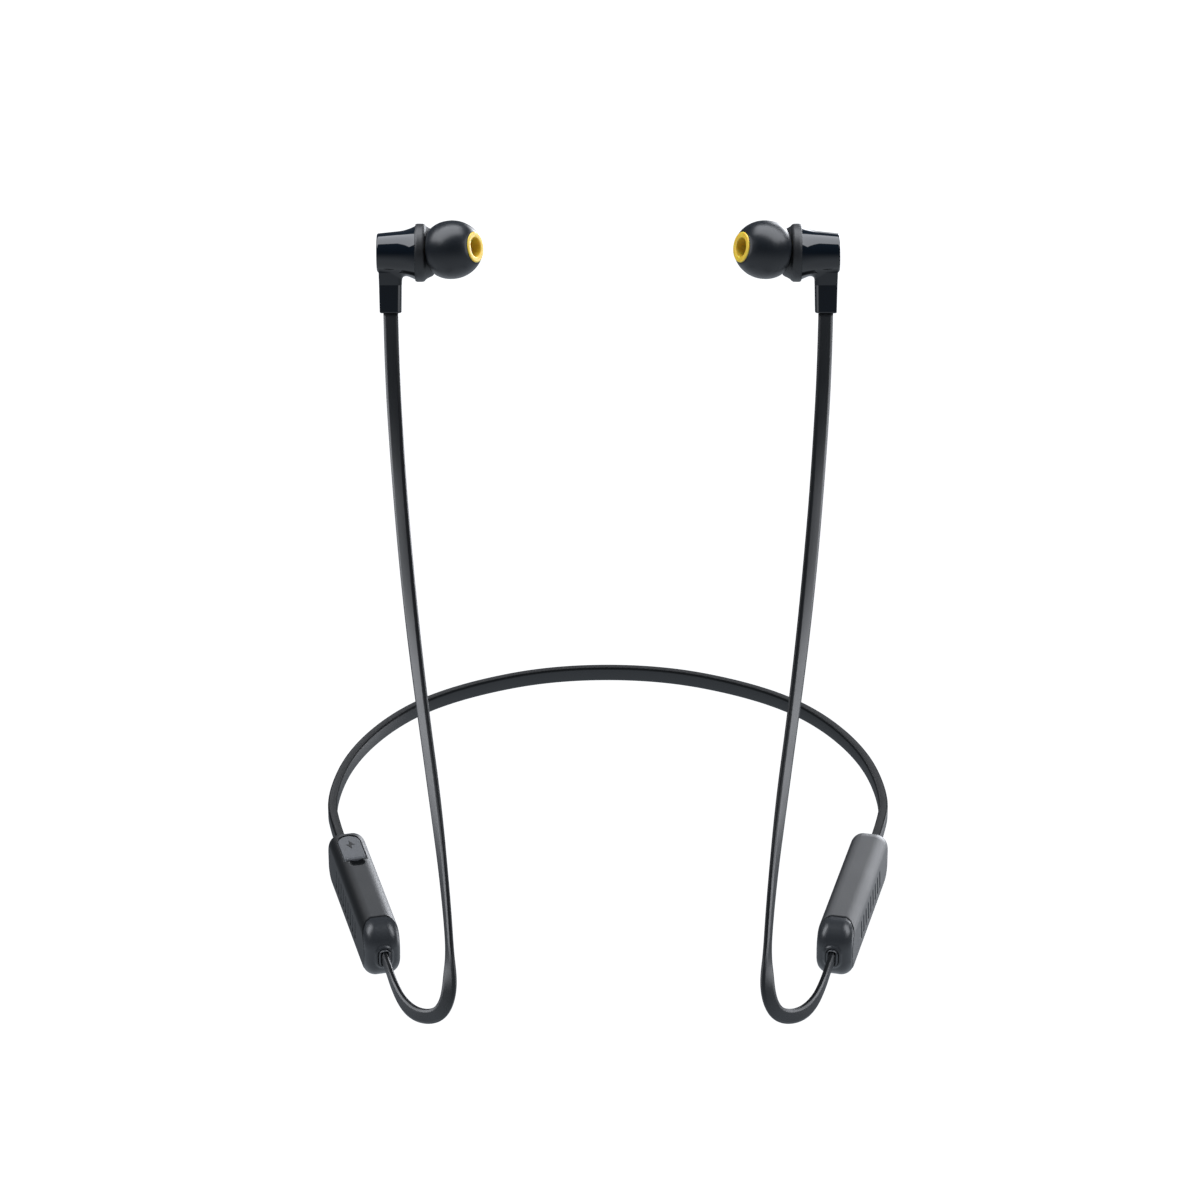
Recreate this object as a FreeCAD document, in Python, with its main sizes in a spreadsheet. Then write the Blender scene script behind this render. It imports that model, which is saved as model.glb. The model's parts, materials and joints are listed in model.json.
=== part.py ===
"""Neckband earphones, held up by the neck as they are worn.

Frame: origin at the middle of the neckband's inner face, where it rests on the nape; +Z up;
the wearer faces -Y and the wearer's left is +X. Millimetres.

The neckband lies in a plane that falls towards the front. At each front end it enters a small
bar-shaped module: the control module at the wearer's right (-X), with the buttons and the charging
socket, and the battery module at the left (+X). A flat cable droops from each module and rises to
an earbud.

Each module has its own frame: origin where the neckband enters, x along the bar to the front, z up.
Each earbud has its own frame: origin at the centre of the front flange, x towards the ear, z up.
SIDES holds +1 for the wearer's right and -1 for the left; in a module +side is the way to the neck,
and in an earbud -side is the way to the front.
"""
import FreeCAD, Part
import Sketcher
import math
import os
from FreeCAD import Placement, Rotation, Vector

DIMENSIONS = [
    ("band_tilt", 21.0, "fall of the neckband's plane towards the front, degrees"),
    ("band_tube", 1.45, "radius of the neckband's round stand-in tube"),
    ("ear_tube", 1.08, "radius of an ear cable's round stand-in tube"),
    ("module_x", 56.6, "module's rear end from the middle plane"),
    ("module_front", 75.6, "module's rear end from the nape, along the neckband's plane"),
    ("module_toe", 14.0, "toe-in of a module, degrees"),
    ("bar_length", 42.6, "length of a module"),
    ("bar_height", 12.6, "height of a module"),
    ("bar_width", 7.7, "width of a module"),
    ("bar_corner", 4.8, "corner radius of a module seen from the side"),
    ("bar_round", 2.6, "rounding along a module's edges"),
    ("wall", 1.0, "wall of a module's shell"),
    ("seam_back", 9.4, "centre of the round seam between shell and front cap, from the front end"),
    ("seam_radius", 7.2, "radius of that seam seen from the side"),
    ("panel_start", 4.5, "side panel's rear edge from the rear end"),
    ("panel_length", 29.0, "length of the side panel"),
    ("panel_height", 7.2, "height of the side panel"),
    ("panel_depth", 1.2, "thickness of the side panel"),
    ("panel_corner", 2.4, "corner radius of the side panel"),
    ("board_length", 29.0, "length of the circuit board"),
    ("board_height", 7.2, "height of the circuit board"),
    ("board_depth", 0.8, "thickness of the circuit board"),
    ("board_back", 1.9, "board's face behind the module's middle plane"),
    ("signal_x", 31.5, "status light and microphone from the module's rear end"),
    ("light_up", 2.2, "status light above the module's axis"),
    ("light_radius", 0.6, "radius of the status light"),
    ("sound_down", 2.0, "microphone's hole below the module's axis"),
    ("sound_radius", 0.4, "radius of the microphone's hole"),
    ("cover_start", 2.9, "charging cover's rear edge from the rear end"),
    ("cover_length", 11.0, "length of the charging cover"),
    ("cover_width", 5.2, "width of the charging cover"),
    ("cover_depth", 0.9, "thickness of the charging cover"),
    ("cover_gap", 0.15, "gap round the charging cover"),
    ("cover_corner", 2.4, "corner radius of the charging cover at its hinge"),
    ("cover_drop", 0.2, "charging cover's face below the module's top"),
    ("hinge_radius", 0.2, "radius of the charging cover's bead hinge"),
    ("socket_length", 7.5, "outside length of the charging socket"),
    ("socket_width", 2.6, "outside width of the charging socket"),
    ("socket_depth", 5.0, "depth of the charging socket"),
    ("socket_offset", 0.6, "charging socket's middle plane from the module's, away from the buttons"),
    ("port_length", 6.9, "opening length of the charging socket"),
    ("port_width", 1.85, "opening width of the charging socket"),
    ("button_length", 4.6, "length of a button"),
    ("button_height", 3.6, "height of a button"),
    ("button_proud", 0.45, "height of a button above the side panel"),
    ("button_pitch", 5.5, "distance from button to button"),
    ("button_first", 17.0, "rear button from the module's rear end"),
    ("button_gap", 0.12, "gap round a button"),
    ("switch_size", 3.4, "side of a tactile switch"),
    ("collar_radius", 1.9, "radius of the ear cable's collar on a module"),
    ("collar_proud", 0.9, "height of that collar above the front end"),
    ("seat_wall", 0.9, "wall of a cable's seat round the neckband's tube"),
    ("foot_depth", 1.0, "thickness of the foot that holds a cable's seat inside the shell"),
    ("cell_length", 24.0, "length of the battery cell"),
    ("cell_height", 9.0, "height of the battery cell"),
    ("cell_depth", 4.6, "thickness of the battery cell"),
    ("bud_x", 38.3, "earbud's flange from the middle plane"),
    ("bud_front", 83.0, "earbud's axis in front of the nape"),
    ("bud_up", 101.8, "earbud's flange above the nape"),
    ("bud_length", 9.8, "earbud housing from its back to the flange's front"),
    ("bud_back", 4.0, "radius of the housing's back"),
    ("bud_flange", 6.0, "radius of the front flange"),
    ("flange_depth", 1.7, "thickness of the front flange"),
    ("flare_back", 5.5, "start of the housing's flare behind the flange's front"),
    ("flare_radius", 9.5, "radius of the flare"),
    ("stem_back", 7.0, "stem's axis behind the flange's front"),
    ("stem_drop", 12.5, "stem's end below the earbud's axis"),
    ("stem_width", 4.9, "width of the stem at its root"),
    ("stem_end_width", 4.5, "width of the stem at its end"),
    ("stem_depth", 4.2, "front-to-back size of the stem at its root"),
    ("stem_end_depth", 3.2, "front-to-back size of the stem at its end"),
    ("cowl_length", 2.2, "length of the blunt cone in front of the flange"),
    ("cowl_root", 5.75, "radius of that cone at the flange"),
    ("cowl_end", 4.7, "radius of that cone at its front"),
    ("nozzle_yaw", 28.6, "nozzle's turn towards the front, degrees"),
    ("nozzle_pitch", 7.2, "nozzle's rise, degrees"),
    ("nozzle_radius", 2.3, "outside radius of the nozzle"),
    ("nozzle_bore", 1.6, "radius of the sound outlet"),
    ("nozzle_end", 9.6, "nozzle's end from the flange"),
    ("tip_middle", 6.3, "centre of the ear tip's dome from the flange"),
    ("tip_radius", 6.05, "radius of the ear tip's dome"),
    ("tip_front", 12.6, "ear tip's front from the flange"),
    ("skirt_radius", 5.3, "radius of the dome's skirt at its open end"),
    ("skirt_back", 2.8, "open end of the skirt behind the dome's centre"),
    ("dome_wall", 0.6, "wall of the dome at its widest"),
    ("core_radius", 3.2, "outside radius of the tip's core at its front"),
    ("core_bore", 2.36, "radius of the core's bore, on the nozzle"),
]

doc = FreeCAD.newDocument("neckband_earphones")
sheet = doc.addObject("Spreadsheet::Sheet", "sizes")
for row, (alias, number, meaning) in enumerate(DIMENSIONS, start=1):
    sheet.set(f"A{row}", str(number))
    sheet.setAlias(f"A{row}", alias)
    sheet.set(f"B{row}", meaning)
doc.recompute()


class Size:
    """A length that keeps both its number and the sheet formula that gives it."""

    def __init__(self, number, formula):
        self.number = float(number)
        self.formula = formula

    def _with(self, sign, other, number):
        other = as_size(other)
        return Size(number(self.number, other.number), f"({self.formula} {sign} {other.formula})")

    def __add__(self, other):
        return self._with("+", other, lambda a, b: a + b)

    def __sub__(self, other):
        return self._with("-", other, lambda a, b: a - b)

    def __mul__(self, other):
        return self._with("*", other, lambda a, b: a * b)

    def __truediv__(self, other):
        return self._with("/", other, lambda a, b: a / b)

    def __radd__(self, other):
        return as_size(other) + self

    def __rsub__(self, other):
        return as_size(other) - self

    def __rmul__(self, other):
        return as_size(other) * self

    def __neg__(self):
        return as_size(0) - self

    def __float__(self):
        return self.number


def as_size(value):
    return value if isinstance(value, Size) else Size(value, f"{float(value)}")


class Sheet:
    """Each alias of the sheet as a Size."""

    def __getattr__(self, alias):
        return Size(sheet.get(alias), f"sizes.{alias}")


d = Sheet()
SIDES = {"right": 1, "left": -1}
AXES = {"x": Vector(1, 0, 0), "y": Vector(0, 1, 0), "z": Vector(0, 0, 1)}
nodes = []


# ---------------------------------------------------------------- building blocks

def bind(item, **sizes):
    for name, size in sizes.items():
        item.setExpression(name, as_size(size).formula)
    return item


def at(x=0, y=0, z=0):
    return Vector(float(x), float(y), float(z))


def block(name, length, width, height, middle):
    """A box centred on the point given."""
    item = bind(doc.addObject("Part::Box", name), Length=length, Width=width, Height=height)
    half = at(length, width, height) * 0.5
    item.Placement = Placement(middle - half, Rotation())
    return item


def rod(name, radius, height, base, axis="z"):
    """A cylinder that starts at base and runs along an axis."""
    item = bind(doc.addObject("Part::Cylinder", name), Radius=radius, Height=height)
    item.Placement = Placement(base, Rotation(AXES["z"], AXES[axis]))
    return item


def fuse(name, *items):
    item = doc.addObject("Part::MultiFuse", name)
    item.Shapes = list(items)
    return item


def common(name, first, second):
    item = doc.addObject("Part::MultiCommon", name)
    item.Shapes = [first, second]
    return item


def cut(name, base, *tools):
    item = doc.addObject("Part::Cut", name)
    item.Base = base
    item.Tool = tools[0] if len(tools) == 1 else fuse(name + "_tools", *tools)
    return item


def group(name, *items):
    item = doc.addObject("Part::Compound", name)
    item.Links = list(items)
    return item


def node(label, item, frame=None):
    """Keep an object as a sub-part: name its file and put it in its frame."""
    item.Label = label
    if frame is not None:
        item.Placement = frame.multiply(item.Placement)
    nodes.append(item)
    return item


def origin_plane(body, role):
    return next(plane for plane in body.Origin.OriginFeatures if plane.Role == role)


def new_sketch(body, role):
    sketch = body.newObject("Sketcher::SketchObject", f"{body.Name}_{role}")
    sketch.AttachmentSupport = [(origin_plane(body, role), "")]
    sketch.MapMode = "FlatFace"
    return sketch


def pin_point(sketch, edge, end, x, y):
    """Fix a vertex of a sketch by its two coordinates, on an axis where one is zero."""
    for kind, axis, value in (("DistanceX", -2, x), ("DistanceY", -1, y)):
        if abs(float(value)) < 1e-9:
            sketch.addConstraint(Sketcher.Constraint("PointOnObject", edge, end, axis))
            continue
        index = sketch.addConstraint(Sketcher.Constraint(kind, -1, 1, edge, end, float(value)))
        sketch.setExpression(f"Constraints[{index}]", as_size(value).formula)


def outline(sketch, points):
    """A closed outline. A point is (x, y), or (x, y, radius) when an arc of that radius leads to it:
    a positive radius turns left on the way, a negative one right."""
    for index, point in enumerate(points):
        previous = points[index - 1]
        start, end = at(previous[0], previous[1]), at(point[0], point[1])
        if len(point) == 2:
            sketch.addGeometry(Part.LineSegment(start, end))
            continue
        radius = float(point[2])
        chord = end - start
        lift = math.sqrt(radius ** 2 - (chord.Length / 2) ** 2)
        left = Vector(-chord.y, chord.x, 0).normalize()
        centre = (start + end) * 0.5 + left * math.copysign(lift, radius)
        first, last = (start, end) if radius > 0 else (end, start)
        angles = [math.atan2(p.y - centre.y, p.x - centre.x) for p in (first, last)]
        if angles[1] < angles[0]:
            angles[1] += 2 * math.pi
        circle = Part.Circle(centre, Vector(0, 0, 1), abs(radius))
        sketch.addGeometry(Part.ArcOfCircle(circle, *angles))
    count = len(points)
    for index, point in enumerate(points):
        following = (index + 1) % count
        end = 1 if len(point) == 3 and float(point[2]) < 0 else 2
        start = 2 if len(points[following]) == 3 and float(points[following][2]) < 0 else 1
        sketch.addConstraint(Sketcher.Constraint("Coincident", index, end, following, start))
        pin_point(sketch, index, end, point[0], point[1])
        if len(point) == 3:
            size = as_size(point[2]) if float(point[2]) > 0 else -as_size(point[2])
            radius = sketch.addConstraint(Sketcher.Constraint("Radius", index, float(size)))
            sketch.setExpression(f"Constraints[{radius}]", size.formula)


def turned(name, points):
    """A body turned about the x axis from an outline of (x, radius) points."""
    body = doc.addObject("PartDesign::Body", name)
    sketch = new_sketch(body, "XY_Plane")
    outline(sketch, points)
    turn = body.newObject("PartDesign::Revolution", name + "_turn")
    turn.Profile = sketch
    turn.ReferenceAxis = (sketch, ["H_Axis"])
    turn.Angle = 360
    return body


def rounded_outline(x0, y0, x1, y1, corner):
    """The outline of a rectangle with four round corners."""
    return [(x1 - corner, y0), (x1, y0 + corner, corner), (x1, y1 - corner),
            (x1 - corner, y1, corner), (x0 + corner, y1), (x0, y1 - corner, corner),
            (x0, y0 + corner), (x0 + corner, y0, corner)]


def slab(name, role, points, thickness, rounding=None):
    """A body padded evenly to both sides of a plane, its outer edges rounded if asked."""
    body = doc.addObject("PartDesign::Body", name)
    sketch = new_sketch(body, role)
    outline(sketch, points)
    pad = body.newObject("PartDesign::Pad", name + "_pad")
    pad.Profile = sketch
    pad.SideType = "Symmetric"
    bind(pad, Length=thickness)
    if rounding is None:
        return body
    doc.recompute()
    normal = AXES["y"] if role == "XZ_Plane" else AXES["z"]
    rim = [f"Edge{index}" for index, edge in enumerate(pad.Shape.Edges, start=1)
           if all(abs(abs(vertex.Point.dot(normal)) - float(thickness) / 2) < 1e-6
                  for vertex in edge.Vertexes)]
    fillet = body.newObject("PartDesign::Fillet", name + "_round")
    fillet.Base = (pad, rim)
    bind(fillet, Radius=rounding)
    return body


def shifted(item, x=0, y=0, z=0):
    item.Placement = Placement(at(x, y, z), Rotation())
    return item


# ---------------------------------------------------------------- cords

def cord(label, points, radius):
    """A round tube along straight runs joined by arcs as large as the runs allow."""
    points = [Vector(*point) for point in points]
    edges, start, radii = [], points[0], []
    for before, corner, after in zip(points, points[1:], points[2:]):
        back, ahead = (before - corner), (after - corner)
        reach = 0.45 * min(back.Length, ahead.Length)
        back.normalize()
        ahead.normalize()
        half_turn = (math.pi - back.getAngle(ahead)) / 2
        bend = reach / math.tan(half_turn)
        radii.append(round(bend, 1))
        middle = (back + ahead).normalize()
        inner = corner + middle * (bend / math.cos(half_turn) - bend)
        into, out = corner + back * reach, corner + ahead * reach
        edges += [Part.LineSegment(start, into).toShape(), Part.Arc(into, inner, out).toShape()]
        start = out
    edges.append(Part.LineSegment(start, points[-1]).toShape())
    path = Part.Wire(edges)
    section = Part.Wire([Part.Circle(points[0], points[1] - points[0], radius).toShape()])
    item = doc.addObject("Part::Feature", label)
    item.Shape = path.makePipeShell([section], True, True)
    expected = math.pi * radius ** 2 * path.Length
    print(f"{label}: length {path.Length:.1f}, radii {radii}")
    print(f"{label}: volume {item.Shape.Volume:.0f} for {expected:.0f}")
    return node(label, item)


def build_cords():
    """The neckband's cable from module to module, and the two ear cables."""
    tilt = math.radians(float(d.band_tilt))
    half = [(12.0, -1.0), (32.4, 6.9), (46.5, 18.0), (56.9, 36.0), (60.6, 56.2), (58.4, 68.8),
            (56.6, 75.6)]
    right = [(-x, -reach * math.cos(tilt), -reach * math.sin(tilt)) for x, reach in reversed(half)]
    left = [(-x, y, z) for x, y, z in reversed(right)]
    cord("neckband_cable", right + left, float(d.band_tube))
    droop = [(46.3, -109.2, -41.9), (45.3, -112.8, -43.3), (44.1, -116.9, -45.7), (42.2, -120.4, -48.8),
             (39.6, -123.4, -51.2), (36.4, -126.2, -51.3), (33.8, -128.7, -49.1), (32.2, -130.1, -45.1),
             (32.0, -129.3, -38.8), (32.5, -126.4, -31.0), (33.8, -120.8, -19.5), (35.7, -114.2, -6.0),
             (38.1, -107.0, 9.0), (40.6, -98.6, 26.5), (42.6, -91.4, 44.0), (44.1, -86.4, 61.5),
             (45.1, -83.5, 78.0), (45.3, -83.0, 89.3)]
    for name, side in SIDES.items():
        cord(f"{name}_ear_cable", [(-side * x, y, z) for x, y, z in droop], float(d.ear_tube))


# ---------------------------------------------------------------- modules

def module_frame(side):
    tilt, toe = math.radians(float(d.band_tilt)), math.radians(float(d.module_toe))
    fall = Vector(0, -math.cos(tilt), -math.sin(tilt))
    up = Vector(0, -math.sin(tilt), math.cos(tilt))
    forward = fall * math.cos(toe) + Vector(side * math.sin(toe), 0, 0)
    place = fall * float(d.module_front) + Vector(-side * float(d.module_x), 0, 0)
    return Placement(place, Rotation(forward, up.cross(forward), up, "ZXY"))


def bar(name, inset):
    """The module's rounded bar, drawn in by an inset."""
    half = d.bar_height / 2 - inset
    corner = d.bar_corner - inset
    points = rounded_outline(as_size(inset), -half, d.bar_length - inset, half, corner)
    return slab(name, "XZ_Plane", points, d.bar_width - 2 * as_size(inset), d.bar_round - inset)


def panel_slab(name, side, grow):
    """The side panel's plate on the face towards the neck, grown by a gap."""
    half = d.panel_height / 2 + grow
    points = rounded_outline(d.panel_start - grow, -half, d.panel_start + d.panel_length + grow, half,
                             d.panel_corner + grow)
    plate = slab(name, "XZ_Plane", points, d.panel_depth)
    return shifted(plate, y=side * (d.bar_width - d.panel_depth) / 2)


def build_module(kind, side):
    """The casing that both modules have: shell, side panel, front cap and the two cable seats."""
    frame = module_frame(side)
    seam = d.bar_length - d.seam_back
    tall = d.bar_height + 2
    rear_part = fuse(f"{kind}_rear_part", block(f"{kind}_rear_block", seam, tall, tall, at(seam / 2)),
                     rod(f"{kind}_rear_round", d.seam_radius, tall, at(seam, -tall / 2), "y"))
    front_part = block(f"{kind}_front_part", d.seam_back + 1, tall, tall, at(seam + (d.seam_back + 1) / 2))

    band_hole = rod(f"{kind}_band_hole", d.band_tube + d.seat_wall, d.wall * 3, at(-d.wall), "x")
    shell = cut(f"{kind}_shell", common(f"{kind}_shell_form", bar(f"{kind}_bar", 0), rear_part),
                bar(f"{kind}_hollow", d.wall), panel_slab(f"{kind}_window", side, 0.0), band_hole)
    if kind == "control":
        shell = cut("control_shell_with_port", fuse("control_shell_with_shelf", shell, port_shelf()),
                    cover_recess(), socket_opening())
    node(f"{kind}_outer_shell", shell, frame)

    panel = panel_slab(f"{kind}_panel", side, 0.0)
    if kind == "control":
        holes = [button_hole(index, side) for index in range(3)]
        holes += [rod("light_hole", d.light_radius, d.bar_width, at(d.signal_x, 0, d.light_up), "y"),
                  rod("sound_hole", d.sound_radius, d.bar_width, at(d.signal_x, 0, -d.sound_down), "y")]
        panel = cut(f"{kind}_panel_pierced", panel, *holes)
    node(f"{kind}_side_panel", panel, frame)

    collar_hole = rod(f"{kind}_collar_hole", d.collar_radius, 6, at(d.bar_length - 4), "x")
    seam_round = rod(f"{kind}_seam_round", d.seam_radius, tall, at(seam, -tall / 2), "y")
    cap = cut(f"{kind}_cap", common(f"{kind}_cap_form", bar(f"{kind}_cap_bar", 0), front_part),
              bar(f"{kind}_cap_hollow", d.wall), collar_hole, seam_round)
    node(f"{kind}_front_cap", cap, frame)

    band_part = block(f"{kind}_ring_part", 3, tall, tall, at(seam + 3.5))
    ring_form = common(f"{kind}_ring_form", bar(f"{kind}_ring_bar", d.wall), band_part)
    ring = cut(f"{kind}_ring", ring_form, bar(f"{kind}_ring_hollow", d.wall * 1.8))
    node(f"{kind}_joining_ring", ring, frame)

    foot_radius = d.bar_width / 2 - d.wall - 0.05
    foot_x = d.bar_length - d.bar_round - d.foot_depth
    neck_length = d.bar_length + d.collar_proud - foot_x
    neck = rod(f"{kind}_collar_neck", d.collar_radius, neck_length, at(foot_x), "x")
    foot = rod(f"{kind}_collar_foot", foot_radius, d.foot_depth, at(foot_x), "x")
    mouth = rod(f"{kind}_collar_mouth", d.ear_tube + 0.05, 2 * d.collar_proud, at(d.bar_length - 0.15), "x")
    collar = cut(f"{kind}_collar", fuse(f"{kind}_collar_body", neck, foot), mouth)
    node(f"{kind}_cable_collar", collar, frame)

    lip = as_size(0.4)
    neck = rod(f"{kind}_grommet_neck", d.band_tube + d.seat_wall, d.bar_round + lip, at(-lip), "x")
    foot = rod(f"{kind}_grommet_foot", foot_radius, d.foot_depth, at(d.bar_round), "x")
    bore = rod(f"{kind}_grommet_bore", d.band_tube, lip, at(-lip), "x")
    grommet = cut(f"{kind}_grommet", fuse(f"{kind}_grommet_body", neck, foot), bore)
    node(f"{kind}_band_grommet", grommet, frame)
    return frame


def cover_plan(grow):
    """The cover's outline from above: round at the hinge end, square at the pull-tab end."""
    half = d.cover_width / 2 + grow
    rear, front = d.cover_start - grow, d.cover_start + d.cover_length + grow
    corner = d.cover_corner
    return [(front, -half), (front, half), (rear + corner, half), (rear, half - corner, corner),
            (rear, -half + corner), (rear + corner, -half, corner)]


def cover_top():
    return d.bar_height / 2 - d.cover_drop


def hinge_bead(name, radius, half_length):
    """A bead along the cover's upper rear edge, which is the line that the cover turns on."""
    return rod(name, radius, 2 * half_length, at(d.cover_start, -half_length, cover_top()), "y")


def cover_recess():
    """The space for the cover, its bead and a fingernail."""
    floor = cover_top() - d.cover_depth - d.cover_gap
    depth = d.bar_height / 2 + 1 - floor
    plan = slab("cover_recess_plan", "XY_Plane", cover_plan(d.cover_gap), depth)
    shifted(plan, z=floor + depth / 2)
    hinge_pocket = hinge_bead("hinge_pocket", d.hinge_radius + d.cover_gap, as_size(1.1))
    finger_notch = block("finger_notch", 2.4, 3.4, 2.4,
                         at(d.cover_start + d.cover_length + 1.0, 0, d.bar_height / 2))
    return fuse("cover_recess", plan, hinge_pocket, finger_notch)


def port_shelf():
    """Thicker wall under the cover's recess."""
    depth = 1.3
    return block("port_shelf", 16.5, d.bar_width - 2 * d.wall, depth,
                 at(9.3, 0, d.bar_height / 2 - d.wall - depth / 2))


def socket_x():
    return d.cover_start + d.cover_length / 2 + 0.3


def socket_opening():
    return block("socket_opening", d.socket_length + 0.4, d.socket_width + 0.3, 3,
                 at(socket_x(), -d.socket_offset, d.bar_height / 2 - 1))


def button_x(index):
    return d.button_first + index * d.button_pitch


def button_hole(index, side):
    grow = 2 * d.button_gap
    return block(f"button_hole_{index}", d.button_length + grow, 6, d.button_height + grow,
                 at(button_x(index), side * d.bar_width / 2, 0))


def build_control_module():
    side = SIDES["right"]
    frame = build_module("control", side)
    board_face = -d.board_back
    board = block("board", d.board_length, d.board_depth, d.board_height,
                  at(d.panel_start + d.board_length / 2, board_face - d.board_depth / 2, 0))
    node("circuit_board", board, frame)
    shield = block("shield", 8, 1.4, 3.2, at(9.2, board_face + 0.7, -1.9))
    node("radio_shield", shield, frame)

    socket_top = cover_top() - d.cover_depth - 0.35
    middle = at(socket_x(), -d.socket_offset, socket_top - d.socket_depth / 2)
    case = cut("socket_case", block("socket_block", d.socket_length, d.socket_width, d.socket_depth, middle),
               block("socket_port", d.port_length, d.port_width, d.socket_depth - 0.4, middle + at(z=0.4)))
    tongue = block("socket_tongue", 5.2, 0.6, 3.2, middle + at(z=-0.6))
    node("charging_socket", fuse("socket", case, tongue), frame)

    plate_z = cover_top() - d.cover_depth / 2
    plate = shifted(slab("cover_plate", "XY_Plane", cover_plan(0.0), d.cover_depth), z=plate_z)
    lip = block("cover_lip", 1.2, 4.2, 0.9, at(d.cover_start + d.cover_length - 0.6, 0, cover_top() + 0.35))
    plug = block("cover_plug", d.port_length - 0.7, d.port_width - 0.5, 1.0,
                 at(socket_x(), -d.socket_offset, cover_top() - d.cover_depth - 0.4))
    bead = hinge_bead("cover_bead", d.hinge_radius, as_size(0.9))
    node("charging_cover", fuse("cover", plate, lip, plug, bead), frame)

    face, back, foot = d.bar_width / 2 + d.button_proud, as_size(1.7), as_size(0.55)
    flange_depth, case_depth, plunger = as_size(0.5), as_size(1.4), as_size(0.6)
    switches = []
    for index, name in enumerate(("volume_up_button", "multi_function_button", "volume_down_button")):
        x = button_x(index)
        key = block(f"{name}_key", d.button_length, face - back, d.button_height,
                    at(x, (face + back) / 2, 0))
        flange = block(f"{name}_flange", d.button_length + 0.5, flange_depth, d.button_height + 1.2,
                       at(x, back + flange_depth / 2, 0))
        post = rod(f"{name}_post", 0.8, back - foot, at(x, foot, 0), "y")
        node(name, fuse(f"{name}_body", key, flange, post), frame)
        case = block(f"switch_case_{index}", d.switch_size, case_depth, d.switch_size,
                     at(x, board_face + case_depth / 2, 0))
        pin = rod(f"switch_plunger_{index}", 0.7, plunger, at(x, board_face + case_depth, 0), "y")
        switches.append(fuse(f"switch_{index}", case, pin))
    node("tactile_switches", group("switches", *switches), frame)
    can = block("microphone_can", 1.6, 1.0, 2.6, at(d.signal_x, board_face + 0.5, -d.sound_down - 0.2))
    node("microphone", can, frame)
    pipe_length = d.bar_width / 2 - board_face
    pipe = rod("light_pipe", d.light_radius, pipe_length, at(d.signal_x, board_face, d.light_up), "y")
    node("status_light", pipe, frame)


def build_battery_module():
    side = SIDES["left"]
    frame = build_module("battery", side)
    start, corner, rounding = as_size(4.0), as_size(1.2), as_size(0.9)
    end = start + d.cell_length
    points = rounded_outline(start, -d.cell_height / 2, end, d.cell_height / 2, corner)
    cell = slab("cell", "XZ_Plane", points, d.cell_depth, rounding)
    node("battery_cell", shifted(cell, y=side * (d.wall + d.cell_depth / 2 - d.bar_width / 2)), frame)
    tab_length, board_length = as_size(0.7), as_size(3.4)
    board = block("protection", board_length, d.board_depth, d.cell_height,
                  at(end + tab_length + board_length / 2))
    node("protection_board", board, frame)
    tabs = [block(f"tab_{index}", tab_length, 0.2, 2.0, at(end + tab_length / 2, 0, height))
            for index, height in enumerate((-2.6, 2.6))]
    node("cell_tab", group("tabs", *tabs), frame)


# ---------------------------------------------------------------- earbuds

def bud_frame(side):
    inward = Vector(side, 0, 0)
    place = Vector(-side * float(d.bud_x), -float(d.bud_front), float(d.bud_up))
    return Placement(place, Rotation(inward, AXES["z"].cross(inward), AXES["z"], "ZXY"))


def nozzle_turn(side):
    """The nozzle's own frame within the earbud's: x along the nozzle."""
    yaw, pitch = math.radians(float(d.nozzle_yaw)), math.radians(float(d.nozzle_pitch))
    level = math.cos(pitch)
    along = Vector(level * math.cos(yaw), -side * level * math.sin(yaw), math.sin(pitch))
    return Placement(Vector(), Rotation(AXES["x"], along))


def housing_outline(inset):
    """Half section of the glossy housing: a drum that flares to the flange."""
    back, neck, rim = inset - d.bud_length, -d.flare_back, -d.flange_depth
    return [(back, 0), (rim, 0), (rim, d.bud_flange - 0.35 - inset),
            (neck, d.bud_back + 0.45 - inset, -(d.flare_radius + inset)), (back, d.bud_back - inset)]


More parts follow.
